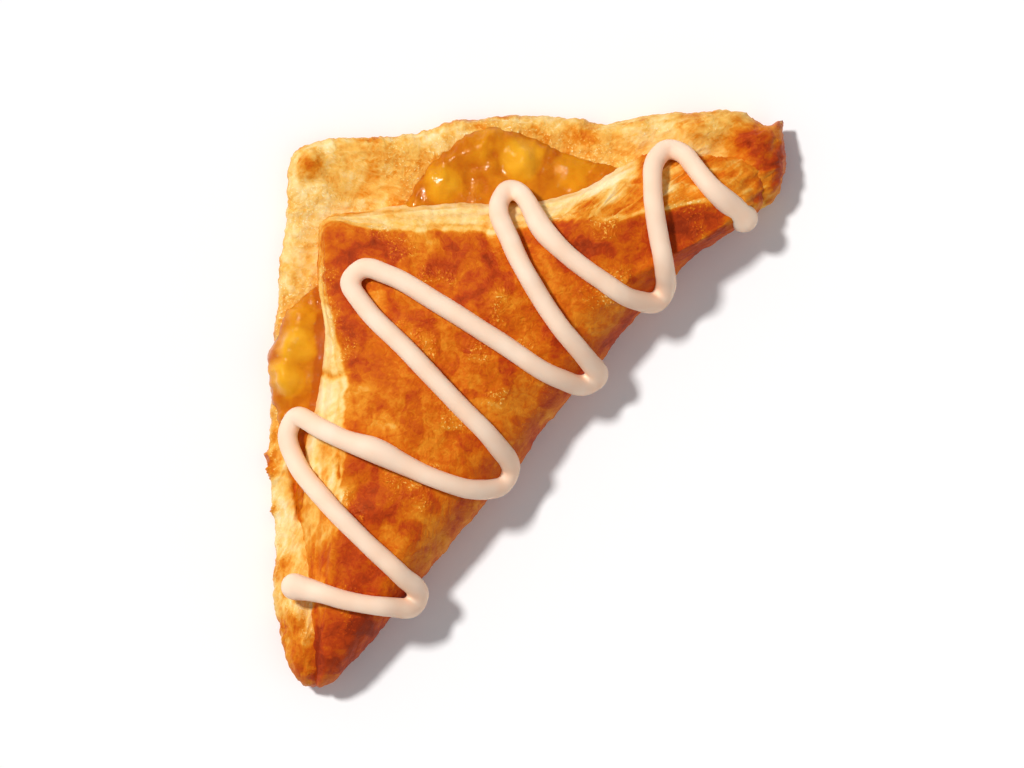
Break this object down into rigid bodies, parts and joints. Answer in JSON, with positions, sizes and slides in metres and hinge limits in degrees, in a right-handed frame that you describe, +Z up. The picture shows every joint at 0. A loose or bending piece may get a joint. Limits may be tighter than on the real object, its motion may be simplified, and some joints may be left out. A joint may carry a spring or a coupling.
{
  "type": "apple turnover",
  "caption": "Puff pastry turnover folded corner over corner, with apple filling at its open sides and zigzag icing on top.",
  "frame": {"origin": "On the resting face, under the middle of the outline's bounding box.", "axes": "+Z up. The cut sides run along +X and -Y from the pastry's square corner, and the fold faces +X -Y, so +Y is the longest extent."},
  "size_m": [0.1147, 0.1273, 0.0262],
  "materials": {
    "pastry": "baked puff pastry, golden to brown, egg-washed satin",
    "filling": "glossy amber apple filling",
    "icing": "set cream icing, soft satin"
  },
  "bodies": {
    "root": {"pastry": "pastry", "filling": "filling", "icing": "icing"}
  },
  "joints": []
}
